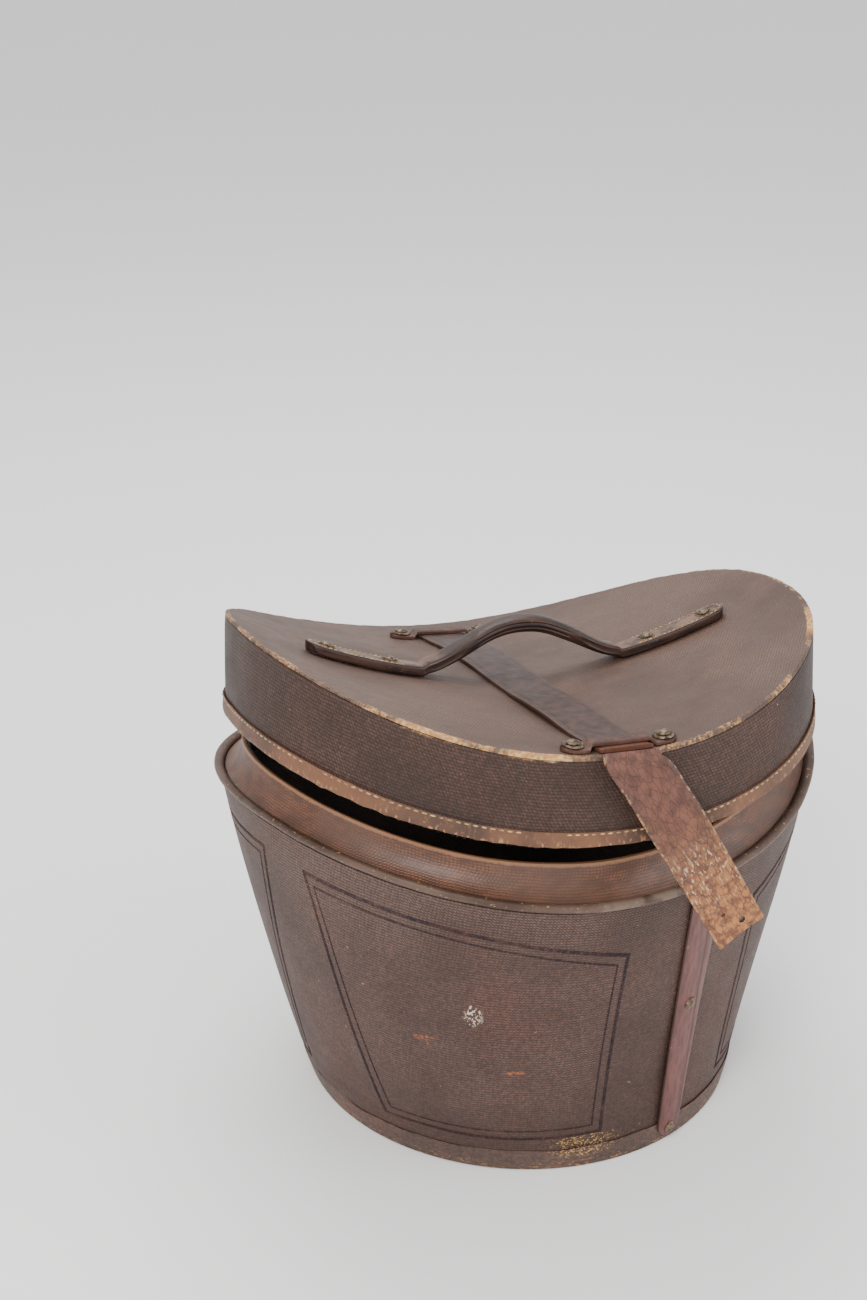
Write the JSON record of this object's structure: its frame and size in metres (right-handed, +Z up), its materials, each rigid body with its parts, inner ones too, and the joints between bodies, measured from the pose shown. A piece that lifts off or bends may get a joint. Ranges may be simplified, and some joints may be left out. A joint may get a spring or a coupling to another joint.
{
  "type": "hat box",
  "caption": "Oval leather bucket hat box with a raised collar, a loose saddle-shaped lid set down askew, a flat leather handle and a hanging strap end.",
  "frame": {"origin": "middle of the flat underside of the base", "axes": "+Z up; X along the mouth's long axis, the way the handle runs when the lid is seated; -Y the front, with the riveted strip below the hanging strap end"},
  "size_m": [0.3864, 0.3898, 0.3447],
  "materials": {
    "crossgrain_leather": "dark purple-brown, cross-grained, worn and scuffed",
    "lid_leather": "matt greyish brown with soft undulations and a worn cream edge",
    "collar_leather": "warm brown, slightly glossy",
    "binding_leather": "thin brown binding, worn to cream along its edges",
    "strip_leather": "mauve-brown, smooth, with one creased line",
    "strap_leather": "reddish brown, cracked, turning golden at the free end",
    "handle_leather": "near-black brown, layered, polished by use",
    "lining_cloth": "dark brown woven lining",
    "aged_brass": "dull, aged"
  },
  "bodies": {
    "box": {"base_board": "crossgrain_leather", "base_lining": "lining_cloth", "body_wall": "crossgrain_leather", "body_lining": "lining_cloth", "bottom_binding": "binding_leather", "ridge_piping": "binding_leather", "collar": "collar_leather", "front_strip": "strip_leather", "back_strip": "strip_leather", "front_strip_rivet_top": "aged_brass", "front_strip_rivet_middle": "aged_brass", "front_strip_rivet_bottom": "aged_brass", "back_strip_rivet_top": "aged_brass", "back_strip_rivet_middle": "aged_brass", "back_strip_rivet_bottom": "aged_brass"},
    "lid": {"lid_top": "lid_leather", "lid_top_lining": "lining_cloth", "lid_skirt": "crossgrain_leather", "lid_skirt_lining": "lining_cloth", "lid_stitched_band": "binding_leather", "lid_strap": "strap_leather", "handle": "handle_leather", "handle_rivet_left_inner": "aged_brass", "handle_rivet_left_outer": "aged_brass", "handle_rivet_right_inner": "aged_brass", "handle_rivet_right_outer": "aged_brass", "front_keeper": "strap_leather", "front_keeper_washer_left": "aged_brass", "front_keeper_washer_right": "aged_brass", "front_keeper_rivet_left": "aged_brass", "front_keeper_rivet_right": "aged_brass", "back_keeper": "strap_leather", "back_keeper_washer_left": "aged_brass", "back_keeper_washer_right": "aged_brass", "back_keeper_rivet_left": "aged_brass", "back_keeper_rivet_right": "aged_brass"},
    "tongue": {"strap_tongue": "strap_leather"}
  },
  "joints": [
    {"name": "lid_lift", "type": "slide", "parent": "box", "child": "lid", "axis": [0, 0, 1], "range_m": [0, 0.15]},
    {"name": "strap_swing", "type": "hinge", "parent": "lid", "child": "tongue", "pos_m": [-0.0689, -0.1723, 0.3056], "axis": [-0.9322, 0.3567, 0.0611], "range_deg": [0, 110]}
  ]
}
